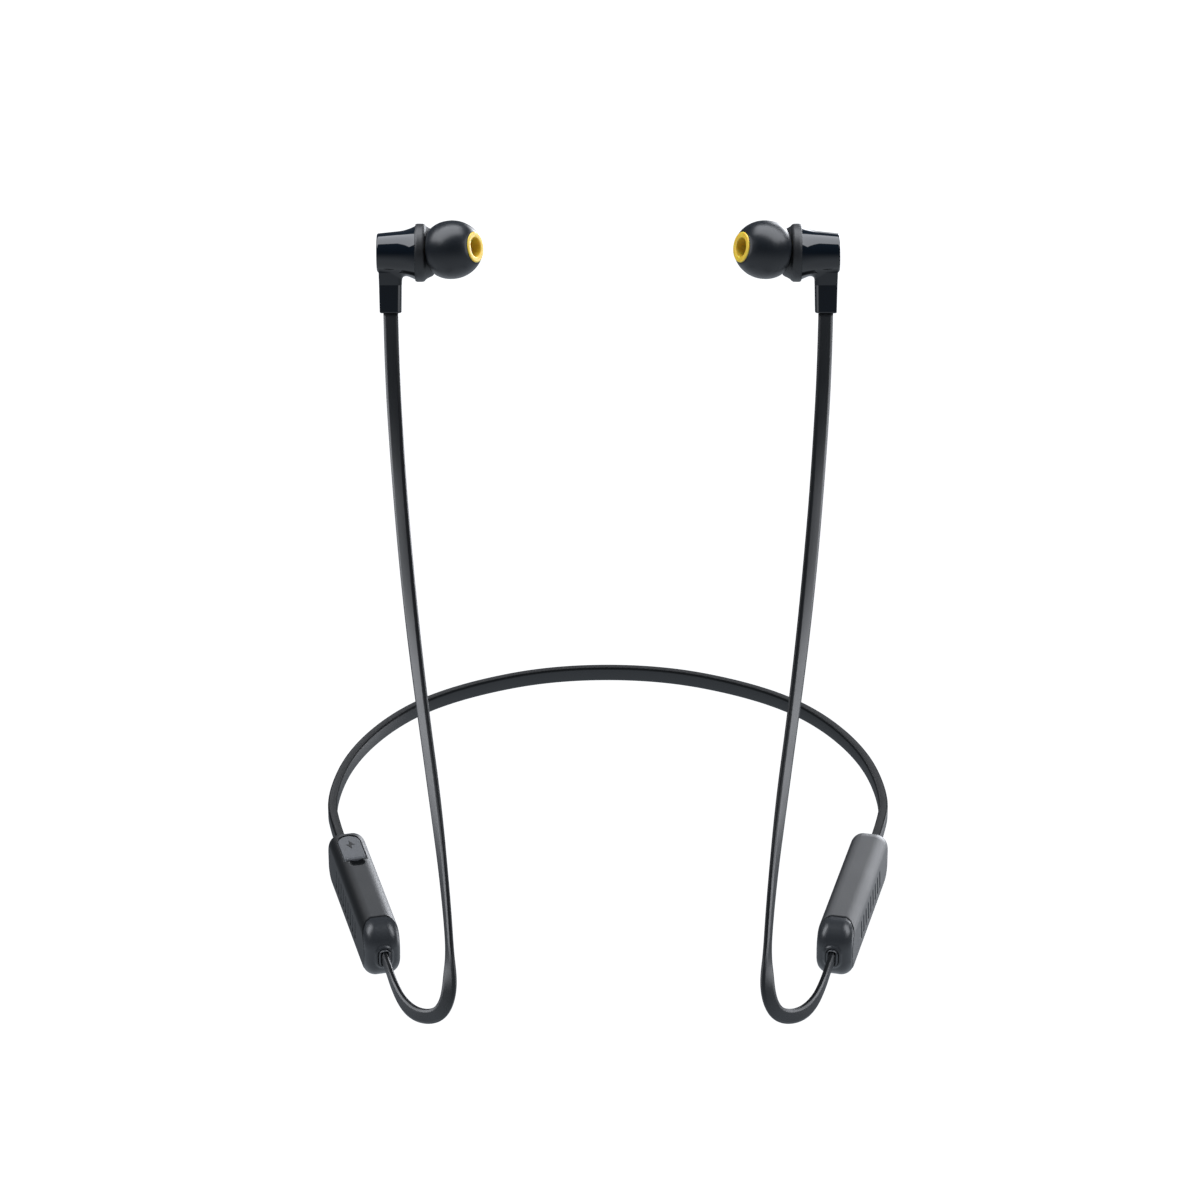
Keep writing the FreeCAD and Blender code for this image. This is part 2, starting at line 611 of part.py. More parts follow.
def build_earbud(name, side):
    frame = bud_frame(side)
    lean = frame.multiply(nozzle_turn(side))
    stem_x = -d.stem_back

    drum = turned(f"{name}_drum", housing_outline(as_size(0)))
    stem = doc.addObject("PartDesign::Body", f"{name}_stem")
    sections = []
    for level, width, depth, drop in (("root", d.stem_width, d.stem_depth, as_size(2.0)),
                                      ("end", d.stem_end_width, d.stem_end_depth, d.stem_drop)):
        section = stem.newObject("Sketcher::SketchObject", f"{name}_stem_{level}")
        section.AttachmentSupport = [(origin_plane(stem, "XY_Plane"), "")]
        section.MapMode = "FlatFace"
        section.AttachmentOffset = Placement(at(z=-drop), Rotation())
        outline(section, rounded_outline(stem_x - width / 2, -depth / 2, stem_x + width / 2, depth / 2,
                                         as_size(1.0)))
        sections.append(section)
    loft = stem.newObject("PartDesign::AdditiveLoft", f"{name}_stem_loft")
    loft.Profile = sections[0]
    loft.Sections = [sections[1]]
    hollow = turned(f"{name}_hollow", [(-8.6, 0), (-d.flange_depth, 0), (-d.flange_depth, 4.7), (-3.2, 4.1),
                                       (-d.flare_back, 3.3), (-8.6, 3.2)])
    cap_seat = rod(f"{name}_cap_seat", d.bud_back - 0.6, 2, at(-d.bud_length - 1.2), "x")
    cable_way = block(f"{name}_cable_way", 3.2, 1.3, 9, at(stem_x, 0, -d.stem_drop + 5.5))
    stem_mouth = block(f"{name}_stem_mouth", 3.6, 2.0, 2, at(stem_x, 0, -d.stem_drop))
    form = fuse(f"{name}_housing_form", drum, stem)
    housing = cut(f"{name}_housing", form, hollow, cap_seat, cable_way, stem_mouth)
    node(f"{name}_rear_housing", housing, frame)
    disc = rod(f"{name}_cap_disc", d.bud_back - 0.6, 0.7, at(-d.bud_length + 0.1), "x")
    node(f"{name}_housing_cap", disc, frame)
    plug = block(f"{name}_grommet_plug", 3.6, 2.0, 0.9, at(stem_x, 0, -d.stem_drop + 0.55))
    node(f"{name}_stem_grommet", plug, frame)

    flange = rod(f"{name}_flange_disc", d.bud_flange, d.flange_depth, at(-d.flange_depth), "x")
    cowl = turned(f"{name}_cowl", [(-0.6, 0), (d.cowl_length, 0), (d.cowl_length, d.cowl_end),
                                   (-0.2, d.cowl_root), (-0.6, d.cowl_root)])
    throat = turned(f"{name}_throat", [(-0.6, 0), (d.nozzle_end, 0), (d.nozzle_end, d.nozzle_radius - 0.2),
                                       (d.nozzle_end - 0.4, d.nozzle_radius), (-0.6, d.nozzle_radius)])
    throat.Placement = nozzle_turn(side)
    keep = block(f"{name}_throat_keep", 14, 16, 16, at(7 - d.flange_depth))
    sound_way = rod(f"{name}_sound_way", d.nozzle_bore, d.nozzle_end + 3, at(-0.4), "x")
    sound_way.Placement = nozzle_turn(side).multiply(sound_way.Placement)
    mesh_seat = rod(f"{name}_mesh_seat", d.nozzle_bore + 0.3, 1.0, at(d.nozzle_end - 0.5), "x")
    mesh_seat.Placement = nozzle_turn(side).multiply(mesh_seat.Placement)
    chamber = rod(f"{name}_chamber", 4.1, d.flange_depth - 0.6, at(-d.flange_depth), "x")
    form = fuse(f"{name}_front_form", flange, cowl, common(f"{name}_throat_part", throat, keep))
    node(f"{name}_front_housing", cut(f"{name}_front", form, sound_way, mesh_seat, chamber), frame)
    mesh = rod(f"{name}_mesh", d.nozzle_bore + 0.3, 0.3, at(d.nozzle_end - 0.5), "x")
    node(f"{name}_nozzle_mesh", mesh, lean)

    driver_case = turned(f"{name}_driver_case", [(-4.7, 1.9), (-4.7, 3.2), (-3.0, 4.1), (-1.0, 4.1), (-1.0, 3.7),
                                                 (-2.8, 3.7), (-4.3, 2.9), (-4.3, 1.9)])
    node(f"{name}_driver_frame", driver_case, frame)
    magnet = turned(f"{name}_magnet_cup", [(-5.9, 0), (-5.9, 3.0), (-4.7, 3.0), (-4.7, 1.9), (-5.2, 1.9),
                                           (-5.2, 1.2), (-3.9, 1.2), (-3.9, 0)])
    node(f"{name}_driver_magnet", magnet, frame)
    cone = turned(f"{name}_cone", [(-3.3, 0), (-3.3, 1.35), (-4.2, 1.35), (-4.2, 1.5), (-2.9, 1.5),
                                   (-2.5, 3.4), (-2.3, 3.4), (-2.6, 1.5), (-2.9, 0)])
    node(f"{name}_diaphragm", cone, frame)

    radius, middle, end, edge = d.tip_radius, d.tip_middle, d.tip_front, d.tip_middle - d.skirt_back
    dome = turned(f"{name}_dome", [(end - 0.25, 2.9), (end - 0.25, 3.4), (middle, radius, 6.4),
                                   (edge, d.skirt_radius, 6.0), (edge + 0.2, d.skirt_radius - 0.5),
                                   (middle, radius - d.dome_wall, -5.4), (end - 2.0, 3.4, -6.0),
                                   (end - 2.0, 2.9)])
    node(f"{name}_tip_dome", dome, lean)
    step = d.nozzle_end + 0.3
    core = turned(f"{name}_core", [(4.2, d.core_bore), (4.2, 2.9), (end - 0.25, 2.9),
                                   (end - 0.25, d.core_radius), (end, d.core_radius - 0.2), (end, 2.1),
                                   (step, 2.0), (step, d.core_bore)])
    node(f"{name}_tip_core", core, lean)


# ---------------------------------------------------------------- build, check and write

build_cords()
build_control_module()
build_battery_module()
for name, side in SIDES.items():
    build_earbud(name, side)
doc.recompute()

faults = [f"{item.Name}: {item.State}" for item in doc.Objects if {"Invalid", "Error"} & set(item.State)]
faults += [f"{item.Label}: bad shape" for item in nodes if item.Shape.isNull() or not item.Shape.isValid()]
for item in nodes:
    solids = len(item.Shape.Solids)
    print(f"{item.Label}: {solids} solid(s), {item.Shape.Volume:.1f} mm3")
if faults:
    raise SystemExit("\n".join(faults))
os.makedirs("parts", exist_ok=True)
for item in nodes:
    item.Shape.exportStep(f"parts/{item.Label}.step")
print(len(nodes), "sub-parts written")
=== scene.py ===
"""Neckband earphones: the looks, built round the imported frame.

Metres in the row frame throughout: origin at the nape, +Z up, the wearer faces -Y.
Small shapes are written in millimetres in a local frame and placed by a matrix.
"""
import bmesh
import bpy
import json
import math
import numpy as np
from mathutils import Matrix, Vector

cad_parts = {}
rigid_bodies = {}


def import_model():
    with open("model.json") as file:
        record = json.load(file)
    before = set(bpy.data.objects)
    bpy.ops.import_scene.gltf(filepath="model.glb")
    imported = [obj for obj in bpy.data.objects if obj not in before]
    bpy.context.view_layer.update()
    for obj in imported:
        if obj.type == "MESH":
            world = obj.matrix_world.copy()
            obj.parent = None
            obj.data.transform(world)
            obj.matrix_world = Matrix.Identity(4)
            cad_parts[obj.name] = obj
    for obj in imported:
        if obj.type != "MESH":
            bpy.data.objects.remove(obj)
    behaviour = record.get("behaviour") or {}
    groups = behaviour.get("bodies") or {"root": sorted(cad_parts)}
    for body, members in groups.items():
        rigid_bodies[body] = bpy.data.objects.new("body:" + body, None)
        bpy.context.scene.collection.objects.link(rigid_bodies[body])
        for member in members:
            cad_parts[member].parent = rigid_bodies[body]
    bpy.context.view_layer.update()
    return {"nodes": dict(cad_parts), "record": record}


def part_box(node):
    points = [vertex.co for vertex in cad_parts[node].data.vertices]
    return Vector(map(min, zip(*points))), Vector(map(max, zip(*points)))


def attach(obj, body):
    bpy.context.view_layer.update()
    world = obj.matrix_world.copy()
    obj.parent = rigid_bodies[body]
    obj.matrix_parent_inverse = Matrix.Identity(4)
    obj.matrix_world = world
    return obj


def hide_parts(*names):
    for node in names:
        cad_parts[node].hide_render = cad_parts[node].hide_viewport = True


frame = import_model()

MM = 0.001
SIDES = {"right": 1, "left": -1}     # the wearer's right is -X
RECORD = frame["record"]
scene = bpy.context.scene


# ------------------------------------------------------------------ frames taken from the record

BAND_TILT = math.radians(21.0)       # fall of the neckband's plane towards the front

# routes in metres, the wearer's left half of the neckband and the left ear cable
BAND_HALF = [(0.0120, -0.0010), (0.0324, 0.0069), (0.0465, 0.0180), (0.0569, 0.0360),
             (0.0606, 0.0562), (0.0584, 0.0688), (0.0566, 0.0756)]
DROOP = [(0.0463, -0.1092, -0.0419), (0.0453, -0.1128, -0.0433), (0.0441, -0.1169, -0.0457),
         (0.0422, -0.1204, -0.0488), (0.0396, -0.1234, -0.0506), (0.0364, -0.1262, -0.0507),
         (0.0338, -0.1287, -0.0491), (0.0322, -0.1301, -0.0451), (0.0320, -0.1293, -0.0388),
         (0.0325, -0.1264, -0.0310), (0.0338, -0.1208, -0.0195), (0.0357, -0.1142, -0.0060),
         (0.0381, -0.1070, 0.0090), (0.0406, -0.0986, 0.0265), (0.0426, -0.0914, 0.0440),
         (0.0441, -0.0864, 0.0615), (0.0451, -0.0835, 0.0780), (0.0453, -0.0830, 0.0893)]


def band_point(x, reach):
    return Vector((x, -reach * math.cos(BAND_TILT), -reach * math.sin(BAND_TILT)))


BAND_UP = Vector((0, -math.sin(BAND_TILT), math.cos(BAND_TILT)))


def local_frame(origin, forward, up):
    """The matrix of a frame whose x is forward and z is up, from millimetres to metres."""
    x = forward.normalized()
    y = up.cross(x).normalized()
    z = x.cross(y)
    turn = Matrix((x, y, z)).transposed().to_4x4()
    return Matrix.Translation(origin) @ turn @ Matrix.Scale(MM, 4)


def joint(name):
    return next(j for j in RECORD["behaviour"]["joints"] if j["name"] == name)


def mount(name):
    return next(m for m in RECORD["mounts"] if m["name"] == name)


def module_frame(side):
    """x along the bar from its rear end, z up, +y * side towards the neck."""
    toe = Vector(mount("charging_port")["axis"]).cross(Vector(joint("charging_cover_hinge")["axis"]))
    toe = Vector((side * abs(toe.x), -abs(toe.y), -abs(toe.z)))
    rear = band_point(-side * BAND_HALF[-1][0], BAND_HALF[-1][1])
    return local_frame(rear, toe, BAND_UP)


def bud_frame(side):
    """x from the flange towards the ear, z up, -y * side towards the front."""
    low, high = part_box(f"{'right' if side > 0 else 'left'}_rear_housing")
    inner_x = high[0] if side > 0 else low[0]
    flange = Vector((inner_x - side * FLANGE_X * MM, DROOP[-1][1], high[2] - FLARE * MM))
    return local_frame(flange, Vector((side, 0, 0)), Vector((0, 0, 1)))


def nozzle_frame(side):
    """The same origin with x along the nozzle."""
    along = Vector(mount(f"{'right' if side > 0 else 'left'}_ear_tip_face")["axis"])
    return local_frame(bud_frame(side).translation, along, Vector((0, 0, 1)))


# ------------------------------------------------------------------ mesh helpers

def new_object(name, points, faces, finish, place=None, normals=None):
    """A smooth-shaded mesh piece. place takes its millimetres to metres in the row frame."""
    mesh = bpy.data.meshes.new(name)
    mesh.from_pydata([tuple(p) for p in points], [], [tuple(f) for f in faces])
    if place is not None:
        mesh.transform(place)
    mesh.polygons.foreach_set("use_smooth", [True] * len(mesh.polygons))
    if normals is not None:
        turn = np.array(place.to_3x3().normalized())
        mesh.normals_split_custom_set_from_vertices((normals @ turn.T).tolist())
    mesh.materials.append(finish)
    item = bpy.data.objects.new(name, mesh)
    scene.collection.objects.link(item)
    return item


def face_outwards(item):
    """Turns every face of a closed mesh outwards."""
    mesh = bmesh.new()
    mesh.from_mesh(item.data)
    bmesh.ops.recalc_face_normals(mesh, faces=mesh.faces)
    mesh.to_mesh(item.data)
    mesh.free()


def keep(item, body, node):
    """Every piece rides on a body and stands for a CAD node, which it hides."""
    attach(item, body)
    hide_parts(node)
    return item


def lathe(name, outline, finish, place, turns=112):
    """A closed outline of (x, radius) points turned about x."""
    points, faces = [], []
    for x, radius in outline:
        for k in range(turns):
            angle = 2 * math.pi * k / turns
            points.append((x, radius * math.cos(angle), radius * math.sin(angle)))
    count = len(outline)
    for i in range(count):
        here, there = i * turns, (i + 1) % count * turns
        for k in range(turns):
            after = (k + 1) % turns
            faces.append((here + k, there + k, there + after, here + after))
    item = new_object(name, points, faces, finish, place)
    face_outwards(item)
    return item


def arc(start, end, radius, steps=14):
    """Points on the way from start to end on an arc, end included: a positive radius turns left."""
    start, end = np.array(start, float), np.array(end, float)
    chord = end - start
    lift = math.sqrt(radius ** 2 - (np.linalg.norm(chord) / 2) ** 2)
    left = np.array([-chord[1], chord[0]]) / np.linalg.norm(chord)
    centre = (start + end) / 2 + left * math.copysign(lift, radius)
    first, last = (math.atan2(*(p - centre)[::-1]) for p in (start, end))
    if radius > 0 and last < first:
        last += 2 * math.pi
    if radius < 0 and last > first:
        last -= 2 * math.pi
    angles = np.linspace(first, last, steps + 1)[1:]
    return [tuple(centre + abs(radius) * np.array([math.cos(a), math.sin(a)])) for a in angles]


def round_outline(points, radius, steps=5):
    """A closed outline with each corner rounded by up to the radius given for it or for all."""
    result = []
    count = len(points)
    for i, point in enumerate(points):
        corner = np.array(point[:2], float)
        before = np.array(points[i - 1][:2], float) - corner
        after = np.array(points[(i + 1) % count][:2], float) - corner
        r = point[2] if len(point) > 2 else radius
        if r <= 0:
            result.append(tuple(corner))
            continue
        reach = min(r, 0.45 * np.linalg.norm(before), 0.45 * np.linalg.norm(after))
        start = corner + before / np.linalg.norm(before) * reach
        end = corner + after / np.linalg.norm(after) * reach
        for k in range(steps + 1):
            t = k / steps
            result.append(tuple((1 - t) ** 2 * start + 2 * t * (1 - t) * corner + t ** 2 * end))
    return result


# ------------------------------------------------------------------ fields
# A field is negative inside a shape and positive outside. It takes an array of points in millimetres.

def f_box(p, middle, half, corner=0.0):
    q = np.abs(p - np.array(middle, float)) - (np.array(half, float) - corner)
    return np.linalg.norm(np.maximum(q, 0), axis=1) + np.minimum(q.max(axis=1), 0) - corner


def f_plan(u, v, half_u, half_v, corner):
    """A rounded rectangle about the origin of a plane. corner may differ from point to point."""
    a, b = np.abs(u) - (half_u - corner), np.abs(v) - (half_v - corner)
    return np.hypot(np.maximum(a, 0), np.maximum(b, 0)) + np.minimum(np.maximum(a, b), 0) - corner


def f_raise(flat, height, half_height, rounding=0.0):
    """A plan's field raised to both sides of its plane, with rounded edges."""
    a, b = flat + rounding, np.abs(height) - half_height + rounding
    return np.hypot(np.maximum(a, 0), np.maximum(b, 0)) + np.minimum(np.maximum(a, b), 0) - rounding


def f_rod(p, start, axis, radius, length, rounding=0.0):
    """A cylinder from start along the axis of that number."""
    rel = p - np.array(start, float)
    u, v = (k for k in range(3) if k != axis)
    return f_raise(np.hypot(rel[:, u], rel[:, v]) - radius, rel[:, axis] - length / 2, length / 2, rounding)


def f_capsule(p, start, end, radius):
    start, end = np.array(start, float), np.array(end, float)
    way = end - start
    t = np.clip((p - start) @ way / (way @ way), 0, 1)
    return np.linalg.norm(p - start - t[:, None] * way, axis=1) - radius


def join(a, b, blend=0.0):
    """The union, with a fillet about as large as blend."""
    if np.all(blend == 0):
        return np.minimum(a, b)
    h = np.clip(0.5 + 0.5 * (b - a) / blend, 0, 1)
    return b * (1 - h) + a * h - blend * h * (1 - h)


def meet(a, b, blend=0.0):
    return -join(-a, -b, blend)


def carve(a, b, blend=0.0):
    return meet(a, -b, blend)


def slope_of(field, points, delta):
    return np.stack([(field(points + delta * e) - field(points - delta * e)) / (2 * delta)
                     for e in np.eye(3)], axis=1)


def net(name, field, low, high, step, finish, place):
    """The surface where a field is zero, as quads whose corners and normals are the field's own."""
    axes = [np.arange(lo - step, hi + 2 * step, step) for lo, hi in zip(low, high)]
    shape = tuple(len(a) for a in axes)
    grid = np.stack(np.meshgrid(*axes, indexing="ij"), axis=-1).reshape(-1, 3)
    values = np.concatenate([field(part) for part in np.array_split(grid, 1 + len(grid) // 300000)])
    values = values.reshape(shape)
    inside = values < 0
    cells = tuple(n - 1 for n in shape)
    total = np.zeros(cells + (3,))
    count = np.zeros(cells)
    quads = []
    for axis in range(3):
        u, v = (k for k in range(3) if k != axis)
        here, there = [slice(None)] * 3, [slice(None)] * 3
        here[axis], there[axis] = slice(0, -1), slice(1, None)
        a, b = values[tuple(here)], values[tuple(there)]
        change = inside[tuple(here)] != inside[tuple(there)]
        where = np.argwhere(change)
        spot = np.stack([axes[k][where[:, k]] for k in range(3)], axis=1)
        spot[:, axis] += a[change] / (a[change] - b[change]) * step
        around = []
        for du, dv in ((1, 1), (0, 1), (0, 0), (1, 0)):
            cell = where.copy()
            cell[:, u] -= du
            cell[:, v] -= dv
            np.add.at(total, tuple(cell.T), spot)
            np.add.at(count, tuple(cell.T), 1)
            around.append(cell)
        quads.append((around, inside[tuple(here)][change] == (axis == 1)))
    used = count > 0
    number = np.zeros(cells, int)
    number[used] = np.arange(used.sum())
    points = total[used] / count[used][:, None]
    faces = []
    for around, flipped in quads:
        quad = np.stack([number[tuple(cell.T)] for cell in around], axis=1)
        quad[flipped] = quad[flipped][:, ::-1]
        faces.append(quad)
    for _ in range(4):
        slope = slope_of(field, points, step * 0.05)
        move = -(field(points) / np.maximum((slope ** 2).sum(axis=1), 0.25))[:, None] * slope
        length = np.linalg.norm(move, axis=1)
        points += move * np.minimum(1, 0.4 * step / np.maximum(length, 1e-9))[:, None]
    normals = slope_of(field, points, step * 0.3)
    normals /= np.maximum(np.linalg.norm(normals, axis=1), 1e-9)[:, None]
    return new_object(name, points, np.concatenate(faces).tolist(), finish, place, normals)


# ------------------------------------------------------------------ materials

def material(name, colour, roughness, grain=0.0, grain_size=0.2, variation=0.0, **inputs):
    """A moulded surface: base colour with slight mottling, and a fine grain in height and roughness.
    grain is the bump's strength, grain_size its feature size in millimetres."""
    item = bpy.data.materials.new(name)
    item.use_nodes = True
    nodes, links = item.node_tree.nodes, item.node_tree.links
    shader = nodes["Principled BSDF"]
    shader.inputs["Base Color"].default_value = (*colour, 1)
    shader.inputs["Roughness"].default_value = roughness
    for key, value in inputs.items():
        shader.inputs[key.replace("_", " ")].default_value = value
    place = nodes.new("ShaderNodeTexCoord")
    if variation:
        broad = nodes.new("ShaderNodeTexNoise")
        broad.inputs["Scale"].default_value = 160
        broad.inputs["Detail"].default_value = 4
        links.new(place.outputs["Object"], broad.inputs["Vector"])
        tint = nodes.new("ShaderNodeMix")
        tint.data_type = "RGBA"
        tint.inputs["A"].default_value = (*[c * (1 - variation) for c in colour], 1)
        tint.inputs["B"].default_value = (*[min(1, c * (1 + variation)) for c in colour], 1)
        links.new(broad.outputs["Fac"], tint.inputs["Factor"])
        links.new(tint.outputs["Result"], shader.inputs["Base Color"])
        rough = nodes.new("ShaderNodeMapRange")
        rough.inputs["To Min"].default_value = roughness * (1 - variation)
        rough.inputs["To Max"].default_value = min(1, roughness * (1 + variation))
        links.new(broad.outputs["Fac"], rough.inputs["Value"])
        links.new(rough.outputs["Result"], shader.inputs["Roughness"])
    if grain:
        fine = nodes.new("ShaderNodeTexNoise")
        fine.inputs["Scale"].default_value = 1 / (grain_size * MM)
        fine.inputs["Detail"].default_value = 2
        links.new(place.outputs["Object"], fine.inputs["Vector"])
        bump = nodes.new("ShaderNodeBump")
        bump.inputs["Strength"].default_value = grain
        bump.inputs["Distance"].default_value = grain_size * MM * 0.25
        links.new(fine.outputs["Fac"], bump.inputs["Height"])
        links.new(bump.outputs["Normal"], shader.inputs["Normal"])
    return item


BAND_RUBBER = material("band_rubber", (0.020, 0.022, 0.0245), 0.44, 0.06, 0.15, 0.12)
CABLE_RUBBER = material("cable_rubber", (0.015, 0.0165, 0.0185), 0.42, 0.06, 0.15, 0.12)
SOFT_SHELL = material("soft_touch_shell", (0.028, 0.0305, 0.034), 0.48, 0.2, 0.16, 0.1)
PANEL = material("panel_plastic", (0.022, 0.024, 0.026), 0.42, 0.3, 0.14, 0.1)
GLOSS = material("gloss_black", (0.0006, 0.0033, 0.0075), 0.05)
CAP_GLOSS = material("cap_gloss", (0.024, 0.0265, 0.030), 0.32, 0.1, 0.1, 0.08)
MATTE = material("matte_black", (0.0065, 0.0075, 0.009), 0.46, 0.3, 0.1, 0.12)
GROMMET = material("grommet_rubber", (0.024, 0.026, 0.029), 0.25, 0.1, 0.1, 0.1)
COVER_RUBBER = material("cover_rubber", (0.052, 0.055, 0.060), 0.42, 0.25, 0.12, 0.08)
SYMBOL = material("symbol_ink", (0.004, 0.004, 0.005), 0.5, 0.1, 0.1, 0.1)
BUTTON = material("button_rubber", (0.016, 0.017, 0.0185), 0.42, 0.25, 0.1, 0.1)
SILICONE = material("tip_silicone", (0.0055, 0.0075, 0.0105), 0.32, 0.04, 0.1, 0.12,
                    Specular_IOR_Level=0.42)
YELLOW = material("core_silicone", (0.75, 0.51, 0.045), 0.36, 0.08, 0.1, 0.04,
                  Subsurface_Weight=0.25, Subsurface_Scale=0.0012)
STEEL = material("steel", (0.55, 0.55, 0.56), 0.28, 0.1, 0.08, 0.1, Metallic=1.0)
BOARD = material("board_green", (0.012, 0.075, 0.03), 0.35, 0.2, 0.2, 0.15)
INNER = material("inner_plastic", (0.02, 0.02, 0.021), 0.5, 0.2, 0.15, 0.1)
FOIL = material("cell_foil", (0.6, 0.6, 0.61), 0.35, 0.4, 0.4, 0.1, Metallic=1.0)
MAGNET = material("magnet_plating", (0.62, 0.62, 0.65), 0.15, 0.05, 0.1, 0.08, Metallic=1.0)
FILM = material("diaphragm_film", (0.3, 0.26, 0.2), 0.25, 0.1, 0.1, 0.1)
LIGHT = material("light_pipe", (0.75, 0.78, 0.82), 0.12, 0.05, 0.1, 0.05, Transmission_Weight=0.7)

CAD_MATERIALS = {
    "circuit_board": BOARD, "protection_board": BOARD, "radio_shield": STEEL, "charging_socket": STEEL,
    "microphone": STEEL, "tactile_switches": INNER, "status_light": LIGHT, "battery_cell": FOIL,
    "cell_tab": STEEL, "joining_ring": INNER, "driver_frame": INNER, "driver_magnet": MAGNET,
    "diaphragm": FILM, "nozzle_mesh": STEEL, "stem_grommet": GROMMET, "band_grommet": GROMMET,
    "cable_collar": GROMMET, "side_panel": PANEL, "front_cap": CAP_GLOSS, "outer_shell": SOFT_SHELL,
    "charging_cover": COVER_RUBBER, "button": BUTTON, "rear_housing": GLOSS, "housing_cap": GLOSS,
    "front_housing": MATTE, "tip_dome": SILICONE, "tip_core": YELLOW, "cable": CABLE_RUBBER,
}
for node_name, item in frame["nodes"].items():
    finish = next(m for key, m in CAD_MATERIALS.items() if node_name.endswith(key) or key == node_name)
    if not item.material_slots:
        item.data.materials.append(finish)
    for held in item.material_slots:
        held.material = finish


# ------------------------------------------------------------------ cords

def spline_points(name, route):
    """Points along the smooth line whose control points are the route."""
    data = bpy.data.curves.new(name, "CURVE")
    data.dimensions = "3D"
    line = data.splines.new("NURBS")
    line.points.add(len(route) - 1)
    for point, place in zip(line.points, route):
        point.co = (*place, 1)
    line.order_u = 3
    line.use_endpoint_u = True
    line.resolution_u = 24
    holder = bpy.data.objects.new(name, data)
    mesh = bpy.data.meshes.new_from_object(holder)
    points = [v.co.copy() for v in mesh.vertices]
    bpy.data.objects.remove(holder)
    bpy.data.meshes.remove(mesh)
    kept = [points[0]]
    for point in points[1:]:
        if (point - kept[-1]).length > 1e-7:
            kept.append(point)
    return kept


def strip(name, points, section, broad_at, material_):
    """A cable of constant section along points. broad_at(fraction) gives the section's broad way."""
    lengths = [0.0]
    for a, b in zip(points, points[1:]):
        lengths.append(lengths[-1] + (b - a).length)
    rows, faces = [], []
    for i, point in enumerate(points):
        ahead = points[min(i + 1, len(points) - 1)] - points[max(i - 1, 0)]
        ahead.normalize()
        broad = Vector(broad_at(lengths[i] / lengths[-1]))
        broad = (broad - ahead * broad.dot(ahead)).normalized()
        thin = ahead.cross(broad)
        rows += [point + broad * u * MM + thin * v * MM for u, v in section]
    n = len(section)
    for i in range(len(points) - 1):
        for k in range(n):
            m = (k + 1) % n
            faces.append((i * n + k, i * n + m, (i + 1) * n + m, (i + 1) * n + k))
    faces.append(tuple(range(n))[::-1])
    faces.append(tuple(range(len(rows) - n, len(rows))))
    item = new_object(name, rows, faces, material_)
    face_outwards(item)
    return item, lengths[-1]


def flat_section(width, thickness, chamfer, depth, rounding, steps=3):
    """A flat strip's section: broad faces with a chamfer to each narrow edge."""
    w, t = width / 2, thickness / 2
    quarter = [(w, -(t - depth)), (w, t - depth), (w - chamfer, t)]
    corners = quarter + [(-(w - chamfer), t), (-w, t - depth), (-w, -(t - depth)), (-(w - chamfer), -t),
                         (w - chamfer, -t)]
    return round_outline(corners, rounding, steps)


def keyed(keys):
    """A direction that passes smoothly through (fraction, direction) keys."""
    def at(fraction):
        for (a, first), (b, second) in zip(keys, keys[1:]):
            if fraction <= b:
                t = (fraction - a) / (b - a)
                t = t * t * (3 - 2 * t)
                return Vector(first).lerp(Vector(second), t)
        return Vector(keys[-1][1])
    return at


def build_cords():
    left = [band_point(x, reach) for x, reach in BAND_HALF]
    right = [Vector((-p.x, p.y, p.z)) for p in reversed(left)]
    points = spline_points("band_line", right + left)
    section = flat_section(3.4, 2.0, 0.32, 0.32, 0.3)
    band, length = strip("neckband_cable_strap", points, section, lambda _: BAND_UP, BAND_RUBBER)
    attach(band, "headset")
    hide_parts("neckband_cable")
    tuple(points[0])
    section = flat_section(3.1, 1.25, 0.55, 0.3, 0.14)
    for name, side in SIDES.items():
        points = spline_points(f"{name}_line", [(-side * x, y, z) for x, y, z in DROOP])
        keys = [(0.0, BAND_UP), (0.10, (-0.1 * side, 0.0, 1.0)), (0.165, (-0.75 * side, 0.3, 0.75)),
                (0.24, (-0.30 * side, 0.94, 0.1)), (0.45, (-0.66 * side, 0.74, 0.0)),
                (0.75, (-0.9 * side, 0.42, 0.0)), (1.0, (-1.0 * side, 0.0, 0.0))]
        cable, length = strip(f"{name}_ear_cable_strip", points, section, keyed(keys), CABLE_RUBBER)
        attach(cable, "headset")
        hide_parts(f"{name}_ear_cable")
        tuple(points[0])


# ------------------------------------------------------------------ modules
# Module frame: x from the rear end to the front, z up, +y * side towards the neck, millimetres.

BAR_LENGTH, BAR_HEIGHT, BAR_WIDTH = 42.6, 12.6, 7.7
BAR_CORNER, BAR_ROUND, WALL = 4.8, 2.6, 1.0
SEAM_X, SEAM_RADIUS = BAR_LENGTH - 9.4, 7.2
SEAM_GAP = 0.05
BREAK = 0.14                          # rounding of moulded edges
PANEL_X, PANEL_HALF, PANEL_DEPTH = 19.0, (14.5, 3.6), 1.2
PANEL_CORNER = 2.4
COVER = (4.0, 13.9, 2.4)              # rear, front and half width of the charging cover
HINGE_X = 2.9
COVER_TOP, COVER_DEPTH, COVER_GAP = BAR_HEIGHT / 2 - 0.2, 0.9, 0.07
SOCKET = (8.7, -0.6)                  # centre of the charging socket
BUTTON_X = (17.0, 22.5, 28.0)
BUTTON_HALF = (2.3, 1.8)
SIGNAL_X, LIGHT_UP, SOUND_DOWN = 31.5, 2.2, 2.0
LIGHT_RADIUS, SOUND_RADIUS = 0.6, 0.4
GRIP_X, GRIP_PITCH, GRIP_COUNT = 11.0, 2.5, 9
GRIP_SLANT, GRIP_HALF, GRIP_RADIUS = 0.4, 1.9, 0.45


